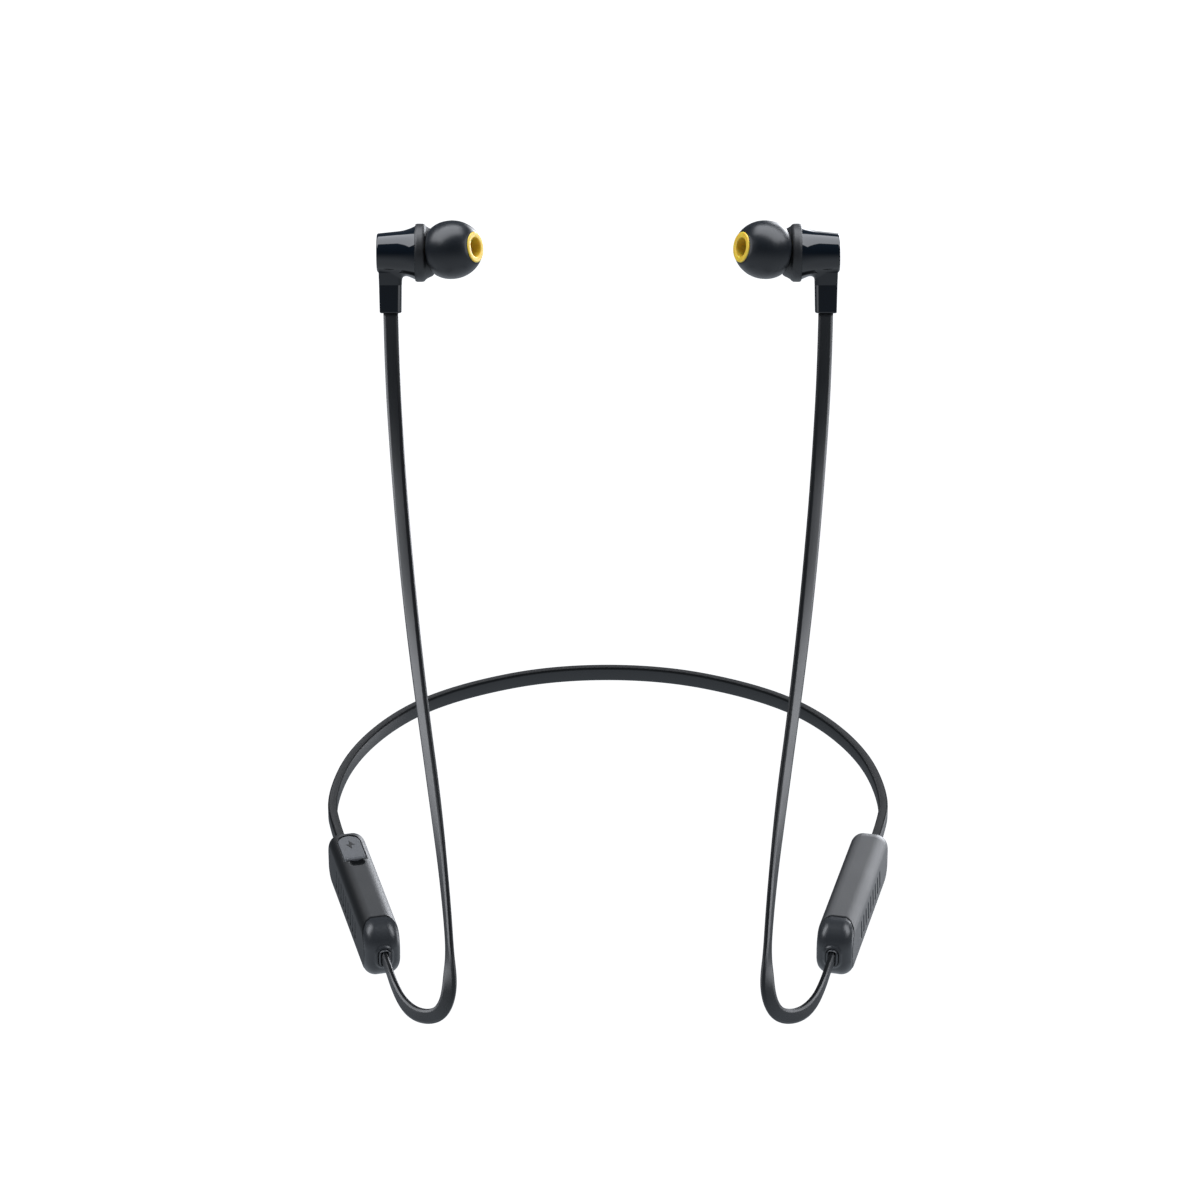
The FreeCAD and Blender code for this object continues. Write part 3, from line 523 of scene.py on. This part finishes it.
def f_bar(p, inset=0.0):
    """The rounded bar, drawn in by an inset."""
    flat = f_plan(p[:, 0] - BAR_LENGTH / 2, p[:, 2], BAR_LENGTH / 2, BAR_HEIGHT / 2, BAR_CORNER)
    return f_raise(flat, p[:, 1], BAR_WIDTH / 2, BAR_ROUND) + inset


def f_behind_seam(p):
    """Behind the round seam between shell and front cap."""
    return np.minimum(p[:, 0] - SEAM_X, np.hypot(p[:, 0] - SEAM_X, p[:, 2]) - SEAM_RADIUS)


def f_panel(p, side, grow=0.0):
    flat = f_plan(p[:, 0] - PANEL_X, p[:, 2], *PANEL_HALF, PANEL_CORNER) - grow
    return np.maximum(flat, BAR_WIDTH / 2 - PANEL_DEPTH - side * p[:, 1])


def f_cover_plan(p, grow=0.0):
    """The charging cover from above: round at the hinge, square at the pull lip."""
    rear, front, half = COVER
    from_middle = p[:, 0] - (rear + front) / 2
    corner = np.where(from_middle < 0, 2.4, 0.35)
    return f_plan(from_middle, p[:, 1], (front - rear) / 2, half, corner) - grow


def f_grip(p, side):
    """A row of short slanted grooves on the outer face."""
    result = np.full(len(p), 9.0)
    depth = -side * BAR_WIDTH / 2
    for index in range(GRIP_COUNT):
        x = GRIP_X + index * GRIP_PITCH
        low, high = (x - GRIP_SLANT, depth, -GRIP_HALF), (x + GRIP_SLANT, depth, GRIP_HALF)
        result = join(result, f_capsule(p, low, high, GRIP_RADIUS))
    return result


def grip_field(side):
    """The dark rubber at the bottom of the grip's grooves."""
    return lambda p: np.maximum(f_grip(p, side) + 0.03, f_bar(p, 0.15))


def shell_field(side, has_port):
    """A module's hollow shell, with the panel's window, the band's hole, the grip and any port."""
    def field(p):
        body = meet(f_bar(p), f_behind_seam(p) + SEAM_GAP, BREAK)
        body = carve(body, f_bar(p, WALL))
        if has_port:
            shelf = f_box(p, (9.3, 0, BAR_HEIGHT / 2 - WALL - 0.6), (8.25, BAR_WIDTH / 2 - WALL + 0.1, 0.7))
            body = join(body, np.maximum(shelf, f_bar(p, 0.5)))
            floor = COVER_TOP - COVER_DEPTH - COVER_GAP
            body = carve(body, np.maximum(f_cover_plan(p, COVER_GAP), floor - p[:, 2]), 0.06)
            notch = COVER[1] + 1.2
            body = carve(body, f_capsule(p, (notch, -0.5, 6.8), (notch, 0.5, 6.8), 1.3), 0.15)
            body = carve(body, f_box(p, (*SOCKET, BAR_HEIGHT / 2 - 1), (3.95, 1.45, 1.5), 0.3), BREAK)
        body = carve(body, f_panel(p, side, 0.03), BREAK)
        body = carve(body, f_rod(p, (-WALL, 0, 0), 0, 2.35, 3 * WALL), BREAK)
        return carve(body, f_grip(p, side), 0.1)
    return field


def cap_field(p):
    """The glossy front cap, with a low hood round the cable's collar."""
    body = meet(f_bar(p, 0.04), SEAM_GAP - f_behind_seam(p), BREAK / 2)
    body = carve(body, f_bar(p, WALL))
    hood = f_raise(f_plan(p[:, 1], p[:, 2], 1.75, 2.5, 1.7), p[:, 0] - BAR_LENGTH + 0.5, 0.8, 0.3)
    body = join(body, np.maximum(hood, BAR_LENGTH - WALL - p[:, 0]), 0.6)
    return carve(body, f_plan(p[:, 1], p[:, 2], 1.32, 2.07, 1.25), BREAK)


def collar_field(p):
    """The cable's strain relief, an oval sleeve with a slot for the flat cable."""
    body = f_raise(f_plan(p[:, 1], p[:, 2], 1.24, 1.99, 1.17), p[:, 0] - 41.2, 2.2, 0.3)
    body = join(body, f_rod(p, (39.0, 0, 0), 0, 2.8, 1.0, 0.2), 0.3)
    return carve(body, f_box(p, (43.9, 0, 0), (1.7, 0.72, 1.64), 0.3), 0.2)


def grommet_field(p):
    """The neckband's seat in a module's rear end."""
    body = join(f_rod(p, (-0.4, 0, 0), 0, 2.3, 3.2, 0.35), f_rod(p, (2.6, 0, 0), 0, 2.8, 1.0, 0.2))
    return carve(body, f_box(p, (-1.0, 0, 0), (1.0, 1.06, 1.76), 0.2), BREAK)


def panel_field(side, has_buttons):
    """The panel on a module's neck side: holes for the buttons and signals, or a plain groove."""
    def field(p):
        flat = f_plan(p[:, 0] - PANEL_X, p[:, 2], *PANEL_HALF, PANEL_CORNER) + 0.04
        middle = BAR_WIDTH / 2 - PANEL_DEPTH / 2
        body = f_raise(flat, side * p[:, 1] - middle, PANEL_DEPTH / 2, BREAK)
        if not has_buttons:
            groove = f_raise(f_plan(p[:, 0] - PANEL_X, p[:, 2], 11.5, 1.7, 1.6),
                             side * p[:, 1] - BAR_WIDTH / 2, 0.2, 0.1)
            return carve(body, groove, BREAK)
        for x in BUTTON_X:
            hole = f_plan(p[:, 0] - x, p[:, 2], BUTTON_HALF[0] + 0.12, BUTTON_HALF[1] + 0.12, 0.62)
            body = carve(body, hole, 2 * BREAK)
        body = carve(body, np.hypot(p[:, 0] - SIGNAL_X, p[:, 2] - LIGHT_UP) - LIGHT_RADIUS, BREAK)
        return carve(body, np.hypot(p[:, 0] - SIGNAL_X, p[:, 2] + SOUND_DOWN) - SOUND_RADIUS, 2 * BREAK)
    return field


def button_field(x, mark):
    """A key with a sunk mark, its flange and its post. mark is plus, dot or minus."""
    def field(p):
        q = p - np.array((x, 0, 0))
        key = f_raise(f_plan(q[:, 0], q[:, 2], *BUTTON_HALF, 0.5), q[:, 1] - 3.0, 1.3, 0.3)
        body = join(key, f_box(q, (0, 1.95, 0), (2.55, 0.25, 2.4), 0.1), 0.15)
        body = join(body, f_rod(q, (0, 0.55, 0), 1, 0.8, 1.5, 0.1), 0.2)
        sunk = f_box(q, (0, 4.3, 0), (0.85, 0.16, 0.17), 0.1)
        if mark == "plus":
            sunk = join(sunk, f_box(q, (0, 4.3, 0), (0.17, 0.16, 0.85), 0.1))
        if mark == "dot":
            sunk = f_raise(np.abs(np.hypot(q[:, 0], q[:, 2]) - 0.65) - 0.15, q[:, 1] - 4.3, 0.16, 0.05)
        return carve(body, sunk, 0.1)
    return field


def cover_field(p):
    """The charging cover: a thin plate with a pull lip, a plug for the socket and a bead to bend on."""
    body = f_raise(f_cover_plan(p), p[:, 2] - COVER_TOP + COVER_DEPTH / 2, COVER_DEPTH / 2, 0.22)
    lip_x, lip_z, lip_half = COVER[1] - 0.45, COVER_TOP + 0.12, 1.75
    lip = f_capsule(p, (lip_x, -lip_half, lip_z), (lip_x, lip_half, lip_z), 0.42)
    body = join(body, lip, 0.2)
    plug = f_box(p, (*SOCKET, COVER_TOP - COVER_DEPTH - 0.4), (3.1, 0.675, 0.5), 0.2)
    strap = f_box(p, (HINGE_X + 0.9, 0, COVER_TOP - 0.32), (0.9, 0.9, 0.12), 0.05)
    return join(join(body, plug, 0.15), strap, 0.05)


def build_bolt(place):
    """A plain lightning bolt, a hair proud of the charging cover."""
    half = [(0.25, 0.95), (0.12, 0.22), (1.75, 0.1)]
    flat = half + [(-x, -y) for x, y in half]
    middle, low, high = 7.6, COVER_TOP - 0.1, COVER_TOP + 0.03
    rim = 0.9
    points = [(middle + x, y, low) for x, y in flat] + [(middle + x, y, high - 0.02) for x, y in flat]
    points += [(middle + rim * x, rim * y, high) for x, y in flat]
    n = len(flat)
    faces = [tuple(range(n)), tuple(range(2 * n, 3 * n))]
    for ring in (0, n):
        faces += [(ring + k, ring + (k + 1) % n, ring + n + (k + 1) % n, ring + n + k) for k in range(n)]
    bolt = new_object("charging_symbol", points, faces, SYMBOL, place)
    face_outwards(bolt)
    bolt.data.polygons.foreach_set("use_smooth", [False] * len(bolt.data.polygons))
    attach(bolt, "charging_cover")


def build_module(kind, side):
    place = module_frame(side)
    has_port = kind == "control"
    low, high = (0, -BAR_WIDTH / 2, -BAR_HEIGHT / 2), (BAR_LENGTH, BAR_WIDTH / 2, BAR_HEIGHT / 2)
    shell = net(f"{kind}_shell", shell_field(side, has_port), low, high, 0.16, SOFT_SHELL, place)
    keep(shell, "headset", f"{kind}_outer_shell")
    near, far = sorted((-side * 3.2, -side * 3.85))
    grip = net(f"{kind}_grip", grip_field(side), (10, near, -2.5), (32.5, far, 2.5), 0.11, SYMBOL, place)
    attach(grip, "headset")
    cap = net(f"{kind}_cap", cap_field, (SEAM_X + 2, *low[1:]), (BAR_LENGTH + 0.5, *high[1:]), 0.16,
              CAP_GLOSS, place)
    keep(cap, "headset", f"{kind}_front_cap")
    collar = net(f"{kind}_collar", collar_field, (38.8, -2.9, -2.9), (43.6, 2.9, 2.9), 0.1, GROMMET, place)
    keep(collar, "headset", f"{kind}_cable_collar")
    grommet = net(f"{kind}_grommet", grommet_field, (-0.5, -2.9, -2.9), (3.7, 2.9, 2.9), 0.1, GROMMET, place)
    keep(grommet, "headset", f"{kind}_band_grommet")
    near, far = sorted((side * 2.5, side * 3.95))
    panel = net(f"{kind}_panel", panel_field(side, has_port), (4.3, near, -3.8), (33.7, far, 3.8), 0.12,
                PANEL, place)
    keep(panel, "headset", f"{kind}_side_panel")


def build_control_parts():
    place = module_frame(SIDES["right"])
    cover = net("cover", cover_field, (2.5, -2.8, 4.1), (14.1, 2.8, 7.0), 0.09, COVER_RUBBER, place)
    keep(cover, "charging_cover", "charging_cover")
    build_bolt(place)
    names = ("volume_up_button", "multi_function_button", "volume_down_button")
    for name, x, mark in zip(names, BUTTON_X, ("plus", "dot", "minus")):
        key = net(name + "_key", button_field(x, mark), (x - 2.7, 0.4, -2.5), (x + 2.7, 4.4, 2.5), 0.09,
                  BUTTON, place)
        keep(key, name, name)


# ------------------------------------------------------------------ earbuds
# Earbud frame: x from the flange towards the ear, z up, -y * side towards the front, millimetres.

BUD_BACK, BUD_END, NECK_X, FLANGE_X = -9.8, 4.0, -5.5, -1.7
FLANGE, FLARE, FLARE_ARC = 6.0, 5.65, 9.5
STEM_X, STEM_END, STEM_HALF = -7.0, -12.5, 2.45
COWL = 2.2
NOZZLE, NOZZLE_BORE, NOZZLE_END = 2.3, 1.6, 9.6
TIP_END, CORE_OUT = 12.6, 3.2


def f_turned(p, outline):
    """Inside an outline of (x, radius) turned about x."""
    xs, radii = zip(*outline)
    return np.hypot(p[:, 1], p[:, 2]) - np.interp(p[:, 0], xs, radii)


def rear_field(p):
    """The glossy drum, its flare and its stem, hollow for the driver and the cable."""
    neck = (NECK_X, BUD_END + 0.45)
    drum = f_turned(p, [(BUD_BACK, BUD_END), neck] + arc(neck, (FLANGE_X, FLARE), FLARE_ARC))
    drum = meet(drum * 0.9, BUD_BACK - p[:, 0], 0.4)
    drop = np.clip((-2.0 - p[:, 2]) / (-2.0 - STEM_END), 0, 1)
    depth = np.interp(-p[:, 2], [4.0, 6.6, -STEM_END], [2.3, 1.75, 1.6])
    corner = np.where(p[:, 0] > STEM_X, 1.2, 0.45)
    flat = f_plan(p[:, 0] - STEM_X, p[:, 1], STEM_HALF - 0.2 * drop, depth, corner)
    stem = f_raise(flat, p[:, 2] - STEM_END / 2, -STEM_END / 2, 0.3)
    fillet = np.clip(0.35 + (p[:, 0] - STEM_X) * 0.35, 0.35, 1.4)
    body = join(drum, stem, fillet)
    body = meet(body, p[:, 0] - FLANGE_X, 0.1)
    hollow = f_turned(p, [(-8.6, 3.2), (NECK_X, 3.3), (-3.2, 4.1), (FLANGE_X, 4.7)])
    body = carve(body, np.maximum(hollow, -8.6 - p[:, 0]))
    seat = np.maximum(np.hypot(p[:, 1], p[:, 2]) - 3.4, p[:, 0] - BUD_BACK - 0.8)
    body = carve(body, seat, BREAK)
    body = carve(body, f_box(p, (STEM_X, 0, -7.0), (1.6, 0.65, 4.5)))
    return carve(body, f_box(p, (STEM_X, 0, STEM_END), (1.8, 0.85, 1.0), 0.3), BREAK)


def front_field(nozzle):
    """The matt flange, the cowl that bulges in front of it, and the nozzle."""
    nozzle = np.array(nozzle)

    def field(p):
        along = p @ nozzle
        off = np.linalg.norm(p - along[:, None] * nozzle, axis=1)
        tube = off - np.interp(along, [NOZZLE_END - 0.4, NOZZLE_END], [NOZZLE, 2.1])
        tube = np.maximum(np.maximum(tube, along - NOZZLE_END), -0.6 - along)
        groove = np.hypot(off - NOZZLE - 0.1, along - 7.6) - 0.35
        tube = carve(tube, groove, 0.1)
        body = f_rod(p, (FLANGE_X, 0, 0), 0, FLANGE, 1.8, 0.5)
        cowl = f_turned(p, [(FLANGE_X, 5.85)] + arc((0.0, 5.85), (COWL, 4.75), 5.0)) * 0.9
        cowl = meet(np.maximum(cowl, FLANGE_X - p[:, 0]), p[:, 0] - COWL, 0.8)
        body = join(body, cowl, 0.5)
        body = join(body, np.maximum(tube, FLANGE_X - p[:, 0]), 0.7)
        body = carve(body, np.maximum(off - NOZZLE_BORE, -0.4 - along), BREAK)
        body = carve(body, np.maximum(off - NOZZLE_BORE - 0.3, NOZZLE_END - 0.5 - along), 0.08)
        return carve(body, f_rod(p, (FLANGE_X - 1, 0, 0), 0, 4.1, 2.1))
    return field


def build_earbud(name, side):
    bud, lean = bud_frame(side), nozzle_frame(side)
    rear = net(f"{name}_housing", rear_field, (BUD_BACK, -FLARE, STEM_END), (FLANGE_X, FLARE, FLARE), 0.14,
               GLOSS, bud)
    keep(rear, "headset", f"{name}_rear_housing")
    disc = round_outline([(-9.7, 0.02, 0), (-9.7, 3.38), (-9.0, 3.38), (-9.0, 0.02, 0)], 0.15)
    keep(lathe(f"{name}_cap_disc", disc, GLOSS, bud), "headset", f"{name}_housing_cap")
    nozzle = bud.to_3x3().normalized().transposed() @ lean.to_3x3().normalized() @ Vector((1, 0, 0))
    front = net(f"{name}_front", front_field(nozzle), (FLANGE_X, -7.5, -FLANGE), (10.5, 7.5, FLANGE), 0.15,
                MATTE, bud)
    keep(front, "headset", f"{name}_front_housing")

    radius, middle, edge = 6.05, 6.3, 3.5
    dome = [(TIP_END - 0.3, 2.9), (TIP_END - 0.3, 3.3)]
    dome += arc((TIP_END - 0.45, 3.5), (middle, radius), 6.9, 30)
    dome += arc((middle, radius), (edge, 5.3), 6.0, 14)
    dome += [(edge - 0.05, 5.15), (edge, 4.95), (edge + 0.2, 4.8)]
    dome += arc((edge + 0.2, 4.8), (middle, radius - 0.6), -5.4, 14)
    dome += arc((middle, radius - 0.6), (TIP_END - 2.0, 3.4), -6.0, 14)
    dome += [(TIP_END - 2.0, 2.9)]
    keep(lathe(f"{name}_dome", dome, SILICONE, lean), f"{name}_ear_tip", f"{name}_tip_dome")
    core = round_outline([(4.2, 2.36, 0.1), (4.2, 2.9, 0.1), (TIP_END - 0.25, 2.9, 0),
                          (TIP_END - 0.25, CORE_OUT, 0.1), (TIP_END, CORE_OUT - 0.12, 0.25),
                          (TIP_END, 2.0, 0.3), (9.9, 1.9, 0.1), (9.9, 2.36, 0.05)], 0.2)
    keep(lathe(f"{name}_core", core, YELLOW, lean), f"{name}_ear_tip", f"{name}_tip_core")


# ------------------------------------------------------------------ stage, light and camera

def build_camera():
    """Nearly level, in front and a little above, from a metre away."""
    data = bpy.data.cameras.new("camera")
    data.sensor_width = 36
    data.lens = 139.2
    data.clip_end = 20
    item = bpy.data.objects.new("camera", data)
    elevation = math.radians(8)
    target = Vector((-0.00172, -0.05807, 0.0254))
    away = Vector((0, -math.cos(elevation), math.sin(elevation)))
    item.location = target + away
    item.rotation_euler = (math.pi / 2 - elevation, 0, 0)
    scene.collection.objects.link(item)
    scene.camera = item


LIGHT_TINT = (0.96, 0.985, 1.04)


def area_light(name, aim, reach, way, size, radiance, fade, only):
    """A softbox that stands reach metres from aim, along way, and fades towards its edges: fade is
    the share of its half width and of its half height over which it does. It lights the pieces
    already there whose name starts with a word in only."""
    width, height = size
    place = aim + reach * Vector(way)
    data = bpy.data.lights.new(name, "AREA")
    data.shape = "RECTANGLE"
    data.size, data.size_y = width, height
    data.energy = math.pi * width * height * radiance
    data.color = LIGHT_TINT
    data.use_nodes = True
    nodes, links = data.node_tree.nodes, data.node_tree.links
    spot = nodes.new("ShaderNodeNewGeometry")
    split = nodes.new("ShaderNodeSeparateXYZ")
    links.new(spot.outputs["Parametric"], split.inputs["Vector"])
    strength = None
    for axis, share in zip("XY", fade):
        ramp = nodes.new("ShaderNodeMapRange")
        ramp.interpolation_type = "SMOOTHSTEP"
        ramp.inputs["From Min"].default_value = 0.5
        ramp.inputs["From Max"].default_value = 0.5 - 0.5 * share
        middle = nodes.new("ShaderNodeMath")
        middle.operation = "SUBTRACT"
        middle.inputs[1].default_value = 0.5
        off_centre = nodes.new("ShaderNodeMath")
        off_centre.operation = "ABSOLUTE"
        links.new(split.outputs[axis], middle.inputs[0])
        links.new(middle.outputs["Value"], off_centre.inputs[0])
        links.new(off_centre.outputs["Value"], ramp.inputs["Value"])
        if strength is None:
            strength = ramp.outputs["Result"]
            continue
        both = nodes.new("ShaderNodeMath")
        both.operation = "MULTIPLY"
        links.new(strength, both.inputs[0])
        links.new(ramp.outputs["Result"], both.inputs[1])
        strength = both.outputs["Value"]
    links.new(strength, nodes["Emission"].inputs["Strength"])
    item = bpy.data.objects.new(name, data)
    item.location = place
    item.rotation_euler = (aim - place).to_track_quat("-Z", "Y").to_euler()
    item.visible_camera = False
    scene.collection.objects.link(item)
    lit = bpy.data.collections.new(f"{name}_lit")
    for piece in scene.objects:
        if piece.name.startswith(only):
            lit.objects.link(piece)
    item.light_linking.receiver_collection = lit


def build_stage():
    """A white floor that curves up into a white wall well behind, with plain white walls on its other
    sides. It is kept out of reflections, where the softboxes stand against a dim room."""
    floor, wall, bend, front, half, top = -0.30, 1.6, 0.5, -7.0, 6.0, 4.0
    outline = [(front, floor), (wall - bend, floor)]
    outline += [(wall - bend + bend * math.sin(a), floor + bend - bend * math.cos(a))
                for a in np.linspace(0.1, math.pi / 2, 14)]
    outline.append((wall, top))
    points = [(x, y, z) for y, z in outline for x in (-half, half)]
    faces = [(2 * i, 2 * i + 1, 2 * i + 3, 2 * i + 2) for i in range(len(outline) - 1)]
    white = bpy.data.materials.new("stage_white")
    white.use_nodes = True
    shader = white.node_tree.nodes["Principled BSDF"]
    shader.inputs["Base Color"].default_value = (0.9, 0.9, 0.9, 1)
    shader.inputs["Roughness"].default_value = 0.9
    shader.inputs["Emission Color"].default_value = (1, 1, 1, 1)
    shader.inputs["Emission Strength"].default_value = 0.95
    stage = new_object("stage", points, faces, white)
    corners = ((-half, wall), (-half, front), (half, front), (half, wall))
    sides = new_object("stage_sides", [(x, y, z) for z in (floor, top) for x, y in corners],
                       [(0, 1, 5, 4), (1, 2, 6, 5), (2, 3, 7, 6)], white)
    sides.visible_shadow = False
    for item in (stage, sides):
        item.visible_glossy = False
        item.visible_diffuse = False


def build_world():
    """A dim room, lighter below where its pale floor lies."""
    world = bpy.data.worlds.new("studio")
    world.use_nodes = True
    nodes, links = world.node_tree.nodes, world.node_tree.links
    place = nodes.new("ShaderNodeTexCoord")
    split = nodes.new("ShaderNodeSeparateXYZ")
    ramp = nodes.new("ShaderNodeValToRGB")
    ramp.color_ramp.interpolation = "EASE"
    stops = ramp.color_ramp.elements
    stops.new(0.5)
    for stop, (height, level) in zip(stops, ((0.12, 0.95), (0.54, 0.11), (1.0, 0.16))):
        stop.position = height
        stop.color = (0.90 * level, 0.98 * level, 1.08 * level, 1)
    lift = nodes.new("ShaderNodeMapRange")
    lift.inputs["From Min"].default_value = -1
    links.new(place.outputs["Generated"], split.inputs["Vector"])
    links.new(split.outputs["Z"], lift.inputs["Value"])
    links.new(lift.outputs["Result"], ramp.inputs["Fac"])
    links.new(ramp.outputs["Color"], nodes["Background"].inputs["Color"])
    nodes["Background"].inputs["Strength"].default_value = 0.9
    scene.world = world


def build_lights():
    """Softboxes that each light one group of parts: above and beside each earbud, at the sides of the
    caps and of the ear cables, behind and above the modules and the neckband, and in front of the
    cover. They come after the pieces, because a light picks its pieces by name."""
    build_world()
    caps = Vector((0, -0.12, -0.045))
    for word, side in (("right", -1), ("left", 1)):      # the wearer's right is on the picture's left
        bud = Vector((side * 0.045, -0.083, 0.10))
        parts = tuple(f"{word}_{part}" for part in ("housing", "cap_disc", "front", "dome", "core"))
        area_light(f"over_{word}_bud", bud, 0.8, (side * 0.33, -0.10, 0.94), (0.9, 1.5), 5.2, (0.15, 0.06),
                   parts)
        area_light(f"beside_{word}_bud", bud, 0.6, (-side * 0.90, -0.34, 0.27), (0.7, 0.7), 2.6, (0.4, 0.4),
                   parts)
        area_light(f"{word}_of_caps", caps, 0.6, (side * 0.66, -0.25, 0.70), (0.42, 0.75), 6.0, (0.6, 0.5),
                   ("control_cap", "battery_cap", "control_collar", "battery_collar", "cover"))
        cable = Vector((side * 0.04, -0.10, 0.03))
        ear_cable = (f"{word}_ear_cable",)
        area_light(f"{word}_of_cables", cable, 0.6, (side * 0.98, -0.08, 0.15), (0.75, 0.4), 6.5, (0.4, 0.4),
                   ear_cable)
        area_light(f"{word}_of_centre", cable, 0.6, (-side * 0.99, -0.10, 0.0), (0.75, 0.6), 2.0, (0.4, 0.4),
                   ear_cable)
    module = Vector((0.0, -0.09, -0.03))
    above = (-0.14, 0.62, 0.78)
    area_light("back_right", module, 0.6, (0.52, 0.75, 0.42), (0.55, 0.50), 11.0, (0.8, 0.6),
               ("battery", "left_", "right_"))
    area_light("back_of_control", module, 0.6, (0.50, 0.70, 0.50), (0.48, 0.50), 13.5, (0.8, 0.6),
               ("control_shell", "control_panel"))
    for kind, radiance in (("control", 1.5), ("battery", 2.3)):
        area_light(f"above_{kind}", module, 0.9, above, (1.5, 0.9), radiance, (0.6, 0.8), (f"{kind}_shell",))
    area_light("above_cover", module, 0.9, above, (1.5, 0.9), 1.8, (0.6, 0.8),
               ("cover", "charging", "volume", "multi"))
    area_light("low_behind_control", module, 0.7, (0.33, 0.94, 0.04), (0.45, 0.35), 1.3, (0.5, 0.5),
               ("control_shell",))
    for word, side in (("right", -1), ("left", 1)):
        below = Vector((side * 0.27, -0.07, -0.03))
        area_light(f"{word}_of_band", below, 0.9, (0, 0.62, 0.78), (0.44, 0.6), 1.7, (0.2, 0.5),
                   ("neckband",))
    area_light("front_of_cover", module, 0.6, (0.0, -0.98, 0.2), (0.5, 0.4), 4.5, (0.3, 0.3),
               ("cover", "control_collar", "battery_collar"))
    area_light("far_right", module, 0.7, (0.80, 0.60, 0.0), (0.5, 0.5), 3.2, (0.5, 0.5),
               ("control", "battery", "neckband", "volume", "multi"))


build_camera()
build_stage()
scene.view_settings.view_transform = "Standard"
build_cords()
build_control_parts()
for kind, side in (("control", SIDES["right"]), ("battery", SIDES["left"])):
    build_module(kind, side)
for name, side in SIDES.items():
    build_earbud(name, side)
build_lights()
